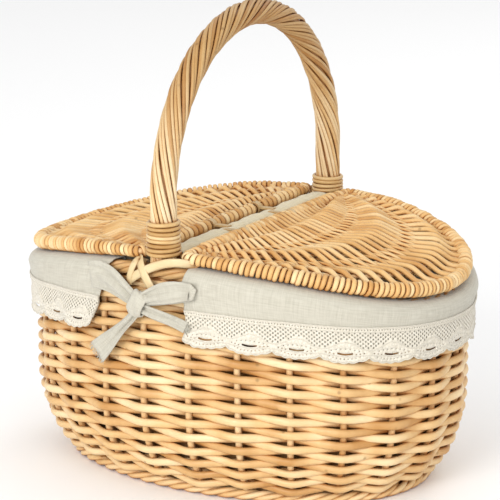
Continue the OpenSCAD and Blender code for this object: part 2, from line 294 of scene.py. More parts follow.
class Nodes:
    """Short names for building a node material."""

    def __init__(self, name):
        self.material = bpy.data.materials.new(name)
        self.material.use_nodes = True
        self.tree = self.material.node_tree
        self.shader = self.tree.nodes["Principled BSDF"]

    def add(self, kind, **values):
        node = self.tree.nodes.new(kind)
        for key, value in values.items():
            if hasattr(node, key):
                setattr(node, key, value)
            else:
                node.inputs[key.replace("_", " ")].default_value = value
        return node

    def link(self, out, into):
        self.tree.links.new(out, into)

    def put(self, value, into):
        """Sets an input to a number or colour, or links it to a node's output."""
        if isinstance(value, tuple):
            into.default_value = (*value, 1)
        elif isinstance(value, (int, float)):
            into.default_value = value
        else:
            self.link(value, into)

    def maps(self):
        """The map along the grain and the object's own coordinates."""
        grain = self.add("ShaderNodeUVMap", uv_map="grain")
        return grain.outputs["UV"], self.add("ShaderNodeTexCoord").outputs["Object"]

    def finish(self, **values):
        """Sets the shader's plain numbers."""
        for key, value in values.items():
            self.shader.inputs[key.replace("_", " ")].default_value = value
        return self.material

    def noise(self, vector, scale, detail=3.0, rough=0.55):
        node = self.add("ShaderNodeTexNoise", Scale=scale, Detail=detail, Roughness=rough)
        self.link(vector, node.inputs["Vector"])
        return node.outputs["Fac"]

    def stretch(self, vector, scale):
        node = self.add("ShaderNodeMapping")
        node.inputs["Scale"].default_value = scale
        self.link(vector, node.inputs["Vector"])
        return node.outputs["Vector"]

    def math(self, operation, a, b):
        node = self.add("ShaderNodeMath", operation=operation)
        self.put(a, node.inputs[0])
        self.put(b, node.inputs[1])
        return node.outputs[0]

    def ramp(self, fac, *stops):
        node = self.add("ShaderNodeValToRGB")
        band = node.color_ramp
        while len(band.elements) < len(stops):
            band.elements.new(0.5)
        for element, (place, colour) in zip(band.elements, stops):
            element.position = place
            element.color = (*colour, 1)
        self.link(fac, node.inputs["Fac"])
        return node.outputs["Color"]

    def mix(self, fac, a, b, blend="MIX"):
        node = self.add("ShaderNodeMix", data_type="RGBA", blend_type=blend)
        for value, into in ((fac, 0), (a, 6), (b, 7)):
            self.put(value, node.inputs[into])
        return node.outputs[2]

    def span(self, value, low, high, start=0.0, stop=1.0):
        """Carries a value from start to stop over to low to high."""
        node = self.add("ShaderNodeMapRange", From_Min=start, From_Max=stop, To_Min=low, To_Max=high)
        self.link(value, node.inputs["Value"])
        return node.outputs["Result"]

    def bump(self, height, strength, distance):
        node = self.add("ShaderNodeBump", Strength=strength, Distance=distance)
        self.link(height, node.inputs["Height"])
        self.link(node.outputs["Normal"], self.shader.inputs["Normal"])


def willow_material(name, dark, middle, light, rough=0.42, grain=1.0, gloss=0.4, darker_above=None):
    """Varnished willow: each rod its own tint, with streaks along it, a few knots and darker stains, and
    painted shade in its crevices.

    The last argument is the height above which the rods are darker, and how far up the change takes."""
    n = Nodes(name)
    grain_map, place = n.maps()
    tint = n.add("ShaderNodeAttribute", attribute_name="tint").outputs["Fac"]
    streak = n.noise(n.stretch(grain_map, (9.0, 60.0, 1.0)), 3.0, 4.0, 0.6)
    broad = n.noise(place, 38.0, 3.0)
    shade = n.math("ADD", n.math("MULTIPLY", tint, 0.55), n.math("MULTIPLY", broad, 0.55))
    base = n.ramp(shade, (0.22, dark), (0.52, middle), (0.86, light))
    streaked = n.mix(n.span(streak, 0.0, 0.45 * grain), base, dark)
    knot = n.add("ShaderNodeTexVoronoi", Scale=52.0)
    n.link(place, knot.inputs["Vector"])
    knot_mask = n.ramp(knot.outputs["Distance"], (0.035, (1, 1, 1)), (0.11, (0, 0, 0)))
    stain = n.mix(n.math("MULTIPLY", knot_mask, 0.55), streaked, tuple(c * 0.42 for c in dark))
    # The rods are darker above the given height, towards the top of the handle.
    if darker_above:
        height = n.add("ShaderNodeSeparateXYZ")
        n.link(place, height.inputs[0])
        up = n.span(height.outputs["Z"], 0.0, 1.0, darker_above[0], darker_above[0] + darker_above[1])
        stain = n.mix(up, stain, n.mix(1.0, stain, (0.68, 0.55, 0.38), "MULTIPLY"))
    # Painted shade: where ambient occlusion finds crevices between rods, the colour is multiplied towards a
    # deep brown.
    crevice = n.add("ShaderNodeAmbientOcclusion", samples=4, Distance=6 * MM)
    crevice_shade_mask = n.ramp(crevice.outputs["AO"], (0.15, (1, 1, 1)), (0.78, (0, 0, 0)))
    crevice_shade = n.mix(1.0, stain, (0.66, 0.34, 0.12), "MULTIPLY")
    n.link(n.mix(crevice_shade_mask, stain, crevice_shade), n.shader.inputs["Base Color"])
    n.link(n.span(streak, rough - 0.08, rough + 0.14), n.shader.inputs["Roughness"])
    n.bump(n.math("ADD", streak, n.math("MULTIPLY", broad, 0.6)), 0.35 * grain, 0.4 * MM)
    return n.finish(Specular_IOR_Level=gloss)


def linen_material(name, shadow, middle, light, thread=0.75 * MM):
    """Plain-woven linen: two crossing sets of uneven threads with slubs."""
    n = Nodes(name)
    cloth_map, place = n.maps()
    warp = n.add("ShaderNodeTexWave", bands_direction="X", Scale=0.314 / thread, Distortion=1.6, Detail=2.0)
    weft = n.add("ShaderNodeTexWave", bands_direction="Y", Scale=0.314 / thread, Distortion=1.6, Detail=2.0)
    for wave in (warp, weft):
        wave.inputs["Detail Scale"].default_value = 0.6
        n.link(cloth_map, wave.inputs["Vector"])
    weave = n.math("MULTIPLY", n.math("ADD", warp.outputs["Fac"], weft.outputs["Fac"]), 0.5)
    slub_x = n.noise(n.stretch(cloth_map, (60.0, 900.0, 1.0)), 1.0, 3.0)
    slub_y = n.noise(n.stretch(cloth_map, (900.0, 60.0, 1.0)), 1.0, 3.0)
    slub = n.math("MULTIPLY", n.math("ADD", slub_x, slub_y), 0.5)
    broad = n.noise(place, 14.0, 3.0)
    shade = n.math("ADD", n.math("MULTIPLY", slub, 0.75), n.math("MULTIPLY", weave, 0.2))
    base = n.ramp(shade, (0.3, shadow), (0.5, middle), (0.72, light))
    n.link(n.mix(n.span(broad, 0.0, 0.22), base, shadow), n.shader.inputs["Base Color"])
    n.bump(n.math("ADD", weave, slub), 0.5, 0.25 * MM)
    return n.finish(Roughness=0.92, Sheen_Weight=0.25, Sheen_Roughness=0.5, Specular_IOR_Level=0.2)


def lace_material(name):
    """Crocheted cotton: soft cream yarn with fine twisted ridges."""
    n = Nodes(name)
    lace_map, place = n.maps()
    stitch = n.add("ShaderNodeTexVoronoi", Scale=1.0, feature="SMOOTH_F1")
    n.link(n.stretch(lace_map, (820.0, 620.0, 1.0)), stitch.inputs["Vector"])
    fuzz = n.noise(place, 900.0, 4.0)
    height = n.math("SUBTRACT", n.math("MULTIPLY", fuzz, 0.5), stitch.outputs["Distance"])
    base = n.ramp(stitch.outputs["Distance"], (0.15, (0.70, 0.655, 0.565)), (0.6, (0.585, 0.54, 0.445)))
    broad = n.span(n.noise(place, 18.0), 0.0, 0.2)
    n.link(n.mix(broad, base, (0.56, 0.50, 0.39)), n.shader.inputs["Base Color"])
    n.bump(height, 0.55, 0.4 * MM)
    return n.finish(Roughness=0.95, Sheen_Weight=0.3, Specular_IOR_Level=0.2)


WILLOW = willow_material("willow", (0.47, 0.235, 0.07), (0.72, 0.485, 0.225), (0.85, 0.68, 0.41))
WILLOW_ROD = willow_material("willow_rod", (0.50, 0.27, 0.09), (0.73, 0.51, 0.26), (0.85, 0.69, 0.43))
WILLOW_LID = willow_material("willow_lid", (0.47, 0.22, 0.055), (0.73, 0.475, 0.20), (0.86, 0.69, 0.40),
                             gloss=0.3)
WILLOW_ROPE = willow_material("willow_rope", (0.42, 0.21, 0.06), (0.68, 0.485, 0.24), (0.80, 0.68, 0.45),
                              darker_above=(0.27, 0.09))
BINDING = willow_material("binding_cane", (0.38, 0.20, 0.055), (0.61, 0.41, 0.18), (0.77, 0.61, 0.35),
                          rough=0.36)
FLAT_CANE = willow_material("flat_cane", (0.50, 0.34, 0.15), (0.66, 0.52, 0.30), (0.76, 0.65, 0.44),
                            rough=0.38, grain=0.8)
LINEN = linen_material("linen", (0.37, 0.34, 0.275), (0.50, 0.475, 0.395), (0.585, 0.56, 0.48))
# The bag's outer face: linen painted dark brown as painted shade, where it is seen through the wall.
LINEN_PAINTED_SHADE = linen_material("linen_painted_shade", (0.20, 0.095, 0.027), (0.28, 0.14, 0.045), (0.36, 0.19, 0.07))
# The warmer strip between the lids: linen painted lighter and warmer, as painted light bounced from the
# willow.
LINEN_PAINTED_LIGHT = linen_material("linen_bar_painted_light", (0.50, 0.43, 0.285), (0.72, 0.63, 0.425), (0.80, 0.72, 0.51))
LACE = lace_material("lace")


# ---------------------------------------------------------------- wall, base and border

SIDING_ROWS = 27
SIDING_LOW = 2.5 * MM
SIDING_ROD = 3.68 * MM
# How far a row swings out and in, and the third wave that straightens it between the stakes.
SIDING_SWING = 4.2 * MM
SIDING_KINK = 0.45 * MM
STEPS_PER_PITCH = 12


def weavers():
    """The siding: each row is one rod that passes in front of and behind the stakes by turns."""
    rods = Rods()
    run, p, n = all_round(STAKES * STEPS_PER_PITCH)
    tall = wall_length(p[:, 0] + n[:, 0] * WALL, WALE_LOW)
    for row in range(SIDING_ROWS):
        phase = math.pi * (run / STAKE_PITCH - 0.5 + row)
        swing = SIDING_SWING * np.cos(phase) + SIDING_KINK * np.cos(3 * phase)
        drift = waves(run, (0.25 * MM, ROUND / 5, row * 1.7), (0.2 * MM, ROUND / 13, row * 2.9))
        w = SIDING_LOW + (tall - SIDING_LOW) * (row + 0.5) / SIDING_ROWS + drift
        d, z, nr, nz = wall_at(w)
        start = int(rng.integers(len(run)))
        taper = np.mod(np.arange(len(run)) - start, len(run)) / len(run)
        radius = SIDING_ROD - 0.3 * MM * taper
        radius = radius + waves(run, (0.12 * MM, 0.083, row), (0.1 * MM, 0.031, 2.0 * row))
        shift = rng.random(3) * TAU
        tint = 0.5 + waves(run, (0.3, ROUND / 3, shift[0]), (0.25, ROUND / 7, shift[1]),
                           (0.12, ROUND / 19, shift[2]))
        centre = placed(p, n, d + swing * nr, z + swing * nz)
        rods.add(centre, placed(0, n, nr, nz), radius, radius * 0.8, tint=tint, sides=10, closed=True)
    return rods.build("siding_weavers", WILLOW)


STAKE_TAIL = 26 * MM
STAKE_BUTT = 3.0 * MM
STAKE_TIP = 2.7 * MM


def stake_rods():
    """The upright rods of the wall. Each starts as a tail under the base."""
    rods = Rods()
    for i in range(STAKES):
        run = (i + 0.5) * STAKE_PITCH
        p, n = oval_at(run)
        top = wall_length(p[0] + n[0] * WALL, BORDER_TOP - 5 * MM)
        w = np.linspace(0, top, 40)
        d, z, nr, nz = wall_at(w)
        lean = waves(w, (0.5 * MM, 0.13, rng.random() * TAU))
        side = np.array([-n[1], n[0], 0.0])
        centre = placed(p, n, d, z) + side * lean[:, None]
        tail = centre[0] - n * np.linspace(STAKE_TAIL, 2 * MM, 5)[:, None]
        points = np.concatenate([tail, centre])
        out = placed(0, n, np.concatenate([np.zeros(5), nr]), np.concatenate([-np.ones(5), nz]))
        rods.add(points, out, np.linspace(STAKE_BUTT, STAKE_TIP, len(points)))
    return rods.build("wall_stakes", WILLOW_ROD)


def rope_ring(rods, growth, height, strands, pitch, twist, rod, wobble=0.0):
    """Strands twisted round an oval line.

    height is a function of x, pitch the length of one turn, twist the twist's radii outward and upright."""
    run, p, n = all_round(720)
    turns = round(ROUND / pitch)
    for k in range(strands):
        ang = TAU * (turns * run / ROUND + k / strands)
        shift = waves(run, (wobble, 0.21, k * 2.1), (wobble, 0.087, k * 1.3))
        point = placed(p, n, growth + twist[0] * np.cos(ang) + shift, 0)
        point[:, 2] = height(point[:, 0]) + twist[1] * np.sin(ang)
        rods.add(point, placed(0, n, np.cos(ang), np.sin(ang)), rod, closed=True)


def top_wale_rods():
    """Three rows of three strands, woven just under the border."""
    rods = Rods()
    for radius in WALE_ROWS:
        rope_ring(rods, WALL, lambda x, r=radius: crown(x, r), strands=3, pitch=3 * STAKE_PITCH,
                  twist=(4.6 * MM, 0.9 * MM), rod=1.9 * MM, wobble=0.2 * MM)
    return rods.build("top_wale_rods", WILLOW)


def border_rods():
    """The rim: the stakes' ends laid down and twisted together."""
    rods = Rods()
    rope_ring(rods, growth=-8.4 * MM, height=lambda x: crown(x, BORDER_MIDDLE), strands=5, pitch=74 * MM,
              twist=(5.0 * MM, 3.3 * MM), rod=2.55 * MM, wobble=0.25 * MM)
    return rods.build("border_rods", WILLOW_ROD)


def foot_wale_rods():
    """The twisted ring that the basket stands on."""
    rods = Rods()
    rope_ring(rods, growth=-36 * MM, height=lambda x: 4.9 * MM, strands=3, pitch=52 * MM,
              twist=(2.9 * MM, 2.3 * MM), rod=2.55 * MM)
    return rods.build("foot_wale_rods", WILLOW)


BASE_Z = 8.5 * MM
BASE_OVALS = 16
BASE_GROWTH = -43.5 * MM
BASE_PITCH = 5.4 * MM
MIDDLE_HALF_LENGTH = 76 * MM
MIDDLE_PITCH = 5.0 * MM
MIDDLE_WAVE = 52 * MM


def base_rods():
    """Ovals of weaver that shrink towards the middle of the base, and straight rods that fill the middle."""
    rods = Rods()
    run, p, n = all_round(480)
    for k in range(BASE_OVALS):
        z = BASE_Z + 3.0 * MM * np.cos(math.pi * (run / STAKE_PITCH + k))
        rods.add(placed(p, n, BASE_GROWTH - BASE_PITCH * k, z), UP, 2.5 * MM, 2.3 * MM, closed=True)
    x = np.linspace(-MIDDLE_HALF_LENGTH, MIDDLE_HALF_LENGTH, 30)
    for k in range(-3, 4):
        z = BASE_Z + 2.4 * MM * np.cos(TAU * x / MIDDLE_WAVE + math.pi * k)
        rods.add(np.stack([x, np.full_like(x, k * MIDDLE_PITCH), z], -1), UP, 2.3 * MM)
    return rods.build("base_weavers", WILLOW)


# ---------------------------------------------------------------- handle

def handle_line(steps, foot=HANDLE_FOOT):
    """Points, outward directions and runs along the handle, from the front foot over to the back one."""
    leg = ARCH_Z - foot
    arch = math.pi * LEG_Y
    s = np.linspace(0, 2 * leg + arch, steps)
    a = np.clip((s - leg) / LEG_Y, 0, math.pi)
    y = -LEG_Y * np.cos(a)
    z = np.where(s > leg + arch, ARCH_Z - (s - leg - arch), ARCH_Z + LEG_Y * np.sin(a))
    z = np.where(s < leg, foot + s, z)
    zero = np.zeros_like(s)
    return np.stack([zero, y, z], -1), np.stack([zero, -np.cos(a), np.sin(a)], -1), s


HANDLE_STRANDS = 18
STRAND_RING = 9.35 * MM
STRAND_ROD = 1.58 * MM


def handle_strands():
    """The rods twisted along the core. They lie steeper at the feet than over the top."""
    rods = Rods()
    line, out, s = handle_line(260)
    side = np.array([1.0, 0.0, 0.0])
    lay = np.radians(8 + 15 * np.sin(math.pi * s / s[-1]) ** 0.8)
    twist = np.concatenate([[0], np.cumsum(np.tan(lay[1:]) / STRAND_RING * np.diff(s))])
    for k in range(HANDLE_STRANDS):
        stray = 0.07 * np.sin(s / 0.07 + 3 * k) + 0.07 * math.sin(7.0 * k)
        ang = twist + TAU * k / HANDLE_STRANDS + stray
        reach = STRAND_RING + waves(s, (0.35 * MM, 0.19, 2.2 * k), (0.2 * MM, 0.071, 1.1 * k))
        radial = side * np.cos(ang)[:, None] + out * np.sin(ang)[:, None]
        thick = STRAND_ROD * (1 + 0.08 * math.sin(5 * k))
        rods.add(line + radial * reach[:, None], radial, thick * 1.03, thick * 0.95)
    return rods.build("handle_strands", WILLOW_ROPE)


def core_rod():
    """The rod inside the roping, pushed down into the wall behind the wale. It fills the roping higher up."""
    rods = Rods()
    foot_rod, full_rod = 3.9 * MM, 7.3 * MM
    line, out, _ = handle_line(160, CORE_FOOT)
    inside = np.clip((line[:, 2] - HANDLE_FOOT - 12 * MM) / (16 * MM), 0, 1)
    inward = 1.5 * MM * (1 - inside)
    rods.add(line - out * inward[:, None], out, foot_rod + (full_rod - foot_rod) * inside, sides=12)
    return rods.build("handle_core_rod", WILLOW_ROD)


BINDING_RING = 12.3 * MM
BINDING_CANE = 1.75 * MM


def binding(label, sign, rings, flare):
    """Rings of round cane round a handle leg, a little higher than their CAD node."""
    rods = Rods()
    rise = 5 * MM
    low, high = (corner.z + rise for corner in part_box(f"handle_binding_{label}"))
    pitch = (high - low) / rings
    ang = np.linspace(0, TAU, 40, endpoint=False)
    radial = np.stack([np.cos(ang), np.sin(ang), np.zeros_like(ang)], -1)
    for k in range(rings):
        share = (k + 0.5) / rings
        ring = radial * (BINDING_RING + flare * (1 - share) ** 2 + 0.15 * MM * math.sin(3.1 * k))
        ring[:, 1] += sign * LEG_Y
        ring[:, 2] = low + pitch * (k + 0.5) + 0.5 * MM * np.sin(ang + 1.1 * k) * (1 if k % 2 else 0.5)
        rods.add(ring, radial, pitch * 0.5, BINDING_CANE, closed=True)
    return rods.build(f"handle_binding_{label}_cane", BINDING)


# ---------------------------------------------------------------- lids

# The hoop's growth and radius, the length its corners are rounded over, and the hinge rod's radius.
HOOP = -6.3 * MM
HOOP_R = 3.0 * MM
CORNER = 26 * MM
ROD_R = 3.5 * MM
LID_RIBS = 5
RIB_LOW = -2.2 * MM
LID_WEAVERS = 78
# A weaver shorter than this is left out, and one shorter than the second waves less.
SHORTEST_WEAVER = 9 * MM
FULL_WAVE_WEAVER = 90 * MM


def hinge_end(loop, sign):
    """Index of the point where the hoop meets the hinge line, at the front (-1) or the back (1)."""
    y = sign * loop[:, 1]
    wrong_end = (y < 0) * 9
    return int(np.argmin(np.abs(loop[:, 0] - HINGE_X) + wrong_end + 0.02 * np.abs(y - LEG_Y + 0.5 * CORNER)))


def lid_outline():
    """The hoop's line, a rounded D, as its rim part from the front corner to the back one, and as a whole."""
    run = np.linspace(0, 2 * QUARTER, 2000)
    p, n = oval_at(run)
    p = (p + n * HOOP)[:, :2]
    p = p[p[:, 0] >= HINGE_X]
    straight = np.linspace(p[-1], p[0], 900)[1:-1]
    loop = np.concatenate([p, straight])
    loop[:, 0] = np.maximum(loop[:, 0], HINGE_X)
    closed = np.vstack([loop, loop[:1]])
    s = lengths_along(closed)
    even = np.linspace(0, s[-1], 1600, endpoint=False)
    loop = points_at(even, s, closed)
    width = int(CORNER / (even[1] - even[0]))
    padded = np.vstack([loop[-width:], loop, loop[:width]])
    loop = np.stack([np.convolve(column, blur(width), "same") for column in padded.T], -1)[width:-width]
    loop = np.roll(loop, -hinge_end(loop, -1), 0)
    return loop[: hinge_end(loop, 1) + 1], loop


LID_RIM, LID_LOOP = lid_outline()
LID_Y = -LID_RIM[0, 1]


def along_rim(share):
    """Points at shares of the way along the rim part of the hoop, and its whole length."""
    s = lengths_along(LID_RIM)
    return points_at(np.asarray(share) * s[-1], s, LID_RIM), s[-1]


def lid_point(u, v, off):
    """A point on a lid: u from the hinge to the rim, v from the front corner to the back one."""
    u, v, off = np.broadcast_arrays(np.asarray(u, float), np.asarray(v, float), np.asarray(off, float))
    rim, _ = along_rim((v + 1) / 2)
    hinge = np.stack([np.full_like(v, HINGE_X), v * LID_Y], -1)
    flat = hinge + (rim - hinge) * u[..., None]
    point = np.concatenate([flat, np.zeros(flat.shape[:-1] + (1,))], -1)
    up = np.stack([flat[..., 0], np.zeros_like(u), np.sqrt(CROWN_R ** 2 - flat[..., 0] ** 2)], -1) / CROWN_R
    point[..., 2] = crown(flat[..., 0], CROWN_R)
    return point + up * off[..., None], up


def sided(points, side):
    """Mirrors points or directions for the left lid."""
    return points * np.array([side, 1, 1])


def hoop_up(x):
    """Upward direction of the hoop at x."""
    return unit(np.stack([x, np.zeros_like(x), np.full_like(x, CROWN_R)], -1))


def lid_hoop(name, side):
    """The lid's hoop and its hinge rod."""
    rods = Rods()
    loop = np.concatenate([LID_LOOP, np.zeros((len(LID_LOOP), 1))], 1)[::4]
    loop[:, 2] = crown(loop[:, 0], CROWN_R)
    rods.add(sided(loop, side), sided(hoop_up(loop[:, 0]), side), HOOP_R, closed=True, tint=0.5)
    y = np.linspace(-LID_Y - 2 * MM, LID_Y + 2 * MM, 40)
    rod = np.stack([np.full(40, HINGE_X), y, np.full(40, HINGE_Z)], -1)
    rods.add(sided(rod, side), UP, ROD_R, sides=16, tint=0.35)
    return rods.build(name, WILLOW_ROD)


def lid_rib_rods(name, side):
    """The ribs. Every second one lies low, so that it doesn't show between the weavers."""
    rods = Rods()
    v = np.linspace(-0.97, 0.97, 90)
    for i in range(1, LID_RIBS + 1):
        point, up = lid_point(i / (LID_RIBS + 1), v, 0.0 if i % 2 else RIB_LOW)
        rods.add(sided(point, side), sided(up, side), 1.9 * MM, 1.5 * MM)
    return rods.build(name, WILLOW_ROD)


# Heights in millimetres at shares of the way from the hinge to the rim, for the stout rods that rise over
# the odd ribs and the thinner ones that pass under them. A rib lies at every sixth.
OVER = ((0, 5.4), (0.105, -2.8), (1 / 6, 4.2), (2 / 6, -2.4), (3 / 6, 4.4), (4 / 6, -2.4), (5 / 6, 4.2),
        (0.93, -1.0), (1, 2.6))
UNDER = ((0, -3.2), (0.12, -4.4), (1 / 6, -3.6), (2 / 6, 0.9), (3 / 6, -3.6), (4 / 6, 0.9), (5 / 6, -3.4),
         (1, 0.6))
STOUT = 2.3 * MM
THIN = 1.35 * MM


def lid_wave(u, stations):
    """Heights of a weaver along u, in straight lines from rib to rib with rounded turns."""
    fine = np.linspace(-0.1, 1.1, 481)
    at, height = np.array(stations).T
    line = np.interp(fine, at, height)
    return np.interp(u, fine, np.convolve(np.pad(line, 14, "edge"), blur(29), "valid")) * MM


def lid_weavers(name, side):
    """Rods from the hinge to the rim: stout ones over the odd ribs, and by turns thinner ones under them."""
    rods = Rods()
    u = np.linspace(0, 1, 61)
    for j in range(LID_WEAVERS):
        v = -1 + 2 * (j + 0.5) / LID_WEAVERS + rng.uniform(-0.003, 0.003)
        ends, _ = lid_point(np.array([0.0, 1.0]), v, 0.0)
        length = np.linalg.norm(ends[1] - ends[0])
        if length < SHORTEST_WEAVER:
            continue
        share = min(1.0, length / FULL_WAVE_WEAVER)
        stout = j % 2 == 0
        off = share * lid_wave(u, OVER if stout else UNDER) * (0.95 + 0.1 * rng.random())
        sway = waves(u, (0.003, 0.9, rng.random() * TAU))
        point, up = lid_point(u, v + sway, off)
        radius = ((STOUT if stout else THIN) + 0.25 * MM * rng.random()) * (0.9 + 0.2 * u)
        tint = 0.5 + 0.4 * (rng.random() - 0.5) + waves(u, (0.22, 0.8, rng.random() * TAU))
        rods.add(sided(point, side), sided(up, side), radius, radius * 0.82, tint=tint)
    return rods.build(name, WILLOW_LID)


def wrap_turn(rods, centre, along, out, up, wide, thick, core, lean, side, steps=18):
    """One turn of rod round a core, which moves on along the core by its lean."""
    ang = np.linspace(-0.62 * math.pi, 1.46 * math.pi, steps)
    shift = (np.arange(steps) / (steps - 1) - 0.5) * lean
    radial = out * np.cos(ang)[:, None] + up * np.sin(ang)[:, None]
    point = centre + along * shift[:, None] + radial * (core + thick)
    rods.add(sided(point, side), sided(radial, side), wide, thick)


# Where the cane loops hold the hinge rods: the lid's side and y.
LOOP_Y = 38 * MM
LOOP_PLACES = [(1, LOOP_Y - 5 * MM), (1, -LOOP_Y - 5 * MM), (-1, LOOP_Y + 5 * MM), (-1, -LOOP_Y + 5 * MM)]
LOOP_GAP = 6.5 * MM
RIM_PITCH = 4.6 * MM
HINGE_PITCH = 7.2 * MM
# The turns by the corners have this share of the others' thickness, out to a share of the rim from each end.
SLIM = 0.62
SLIM_REACH = 0.075


def rim_wraps(rods, side):
    """The weavers' ends wound round the hoop, slimmer by the corners, which pass the handle's binding."""
    _, length = along_rim(0.0)
    turns = int(length / RIM_PITCH)
    for k in range(turns):
        share = (k + 0.5) / turns
        here, _ = along_rim(np.array([share - 0.002, share, share + 0.002]))
        along = unit(np.append(here[2] - here[0], 0.0))
        centre = np.append(here[1], crown(here[1, 0], CROWN_R))
        up = hoop_up(here[1, 0])
        out = unit(np.cross(along, up))
        wide = (1.9 + 0.35 * rng.random()) * MM
        from_corner = min(share, 1 - share)
        slim = min(1.0, max(SLIM, SLIM + 9 * (from_corner - SLIM_REACH)))
        thick = (1.5 + 0.5 * rng.random()) * MM * slim
        lean = (3.2 + 3 * rng.random()) * MM
        wrap_turn(rods, centre, along, out, up, wide, thick, HOOP_R - 0.1 * MM, lean, side)


def hinge_wraps(rods, side):
    """Turns of rod round the hinge rod between its loops, thinner beside the handle."""
    loops = [y for s, y in LOOP_PLACES if s == side]
    turns = int(2 * LID_Y / HINGE_PITCH)
    along, out = np.array([0.0, 1.0, 0.0]), np.array([-1.0, 0.0, 0.0])
    for k in range(turns):
        y = -LID_Y + 2 * LID_Y * (k + 0.5) / turns
        if min(abs(y - place) for place in loops) < LOOP_GAP:
            continue
        centre = np.array([HINGE_X, y, HINGE_Z])
        thick = (1.2 if abs(y) > LID_Y - 14 * MM else 1.75) * MM
        wrap_turn(rods, centre, along, out, UP, 3.1 * MM, thick, ROD_R - 0.4 * MM, 4.4 * MM, side)


def lid_wraps(name, side):
    """The turns of rod round the hoop and the hinge rod."""
    rods = Rods()
    rim_wraps(rods, side)
    hinge_wraps(rods, side)
    return rods.build(name, WILLOW_LID)


def build_basket():
    """The wall, the base and the handle."""
    for piece, slot, node in ((weavers, "willow", "siding"), (stake_rods, "willow_rod", "stakes"),
                              (top_wale_rods, "willow", "top_wale"), (border_rods, "willow_rod", "border"),
                              (foot_wale_rods, "willow", "foot_wale"), (base_rods, "willow", "base_weave"),
                              (core_rod, "willow_rod", "handle_core"),
                              (handle_strands, "willow", "handle_roping")):
        settle(piece(), "basket", slot, node)
    settle(binding("front", -1, 8, 0.9 * MM), "basket", "binding_cane", "handle_binding_front")
    settle(binding("back", 1, 5, 0.4 * MM), "basket", "binding_cane", "handle_binding_back")


def build_lids():
    """Both lids. The left one mirrors the right one, with its own uneven rods."""
    for side, body in ((1, "lid_right"), (-1, "lid_left")):
        for piece, name, slot, node in ((lid_hoop, "hoop", "willow_rod", "rim"),
                                        (lid_rib_rods, "rib_rods", "willow_rod", "ribs"),
                                        (lid_weavers, "weavers", "willow", "weave"),
                                        (lid_wraps, "wraps", "willow", "binding")):
            settle(piece(f"{body}_{name}", side), body, slot, f"{body}_{node}")


# ---------------------------------------------------------------- linen and lace

# How far from the handle's middle the skirts' front edges start, at the right and the left.
GAP_RIGHT = 26 * MM
GAP_LEFT = 48 * MM
CLOTH = 0.9 * MM
HEM = 18.5 * MM


def run_at_x(x):
    """Run along the front side where the rim is at x."""
    return math.asin(x / SIDE_RADIUS) * (SIDE_RADIUS + WALL)


def seam_drop(x):
    """How far the seam lies below the border's top."""
    return crown(x, BORDER_TOP) - (SEAM_HEIGHT - SEAM_RADIUS + np.sqrt(SEAM_RADIUS ** 2 - x ** 2))


def near(distance, reach):
    """1 at a place, falling to nothing about two reaches from it."""
    return np.exp(-(distance / reach) ** 2)


def folds(run, drop):
    """Soft folds in the hanging cloth, deeper towards its lower edge, and creases at the front corners."""
    deep = np.clip((drop - 6 * MM) / (55 * MM), 0, 1)
    corner = near(run - run_at_x(GAP_RIGHT), 22 * MM) + near(run + run_at_x(GAP_LEFT) - ROUND, 26 * MM)
    pull = corner * np.sin(TAU * (drop * 0.8 + run * 0.5) / (9 * MM)) * np.clip(drop / (12 * MM), 0, 1)
    hang = waves(run, (0.9 * MM, 0.067, 0.3), (0.6 * MM, 0.041, 1.9), (0.6 * MM, 0.113, 4.0))
    return deep * hang + 0.9 * MM * pull


# The cloth's section where it turns over the border: growth and drop, from the inside out.
SHOULDER = np.array([[-17.9, 13], [-17.9, 3], [-16.8, -0.7], [-12.5, -1.25], [-6, -1.35], [-2, -1.0],
                     [1.4, 0.8], [3.7, 3.8], [4.6, 7.6]]) * MM


def cloth_growth(run, drop, seam):
    """How far the draped cloth stands out from the rim."""
    t = np.clip((drop - SHOULDER[-1, 1]) / (seam - SHOULDER[-1, 1]), 0, 1.6)
    return SHOULDER[-1, 0] - 2.3 * MM * t ** 0.8 + folds(run, drop)


def skirt_run(side, share, drop):
    """Runs at shares of the way along a skirt, at a drop. The left skirt is drawn up towards its bows."""
    if side > 0:
        edge = run_at_x(GAP_RIGHT)
        start = edge - 2 * MM * np.sin(drop / (9 * MM)) - 0.05 * drop
        stop = 2 * QUARTER - edge + 2 * MM * np.sin(drop / (11 * MM))
    else:
        edge = run_at_x(GAP_LEFT) + 0.42 * drop
        start = 2 * QUARTER + edge + 1.5 * MM * np.sin(drop / (9 * MM))
        stop = ROUND - edge - 1.5 * MM * np.sin(drop / (8 * MM))
    return start + (stop - start) * share


def seam_at(side, share):
    """Drop of the seam at shares of the way along a skirt."""
    return seam_drop(oval_at(skirt_run(side, share, 20 * MM))[0][:, 0])


def hang(run, growth, drop):
    """Points of cloth at their runs, growths and drops, with the outward directions there."""
    p, n = oval_at(run)
    return placed(p, n, growth, crown(p[:, 0], BORDER_TOP) - drop), n


def skirt(name, side):
    """A skirt, from its turned-in edge over the border and down to the hem behind the lace."""
    share = np.linspace(0, 1, 420)
    over = lengths_along(SHOULDER)
    top = points_at(np.linspace(0, over[-1], 24), over, SHOULDER)
    top[1:-1] = (top[:-2] + top[1:-1] + top[2:]) / 3
    grid = []
    for growth, drop in top:
        run = skirt_run(side, share, max(drop, 0))
        grid.append(hang(run, growth + folds(run, max(drop, 0)), drop)[0])
    seam = seam_at(side, share)
    for t in np.linspace(0, 1, 29)[1:]:
        drop = SHOULDER[-1, 1] + (seam + HEM - SHOULDER[-1, 1]) * t
        run = skirt_run(side, share, drop)
        grid.append(hang(run, cloth_growth(run, drop, seam), drop)[0])
    return cloth(name, np.stack(grid, 1), LINEN, CLOTH)


LACE_DEPTH = 31 * MM
LACE_REPEAT = 37.5 * MM
LACE_CLOTH = 0.7 * MM


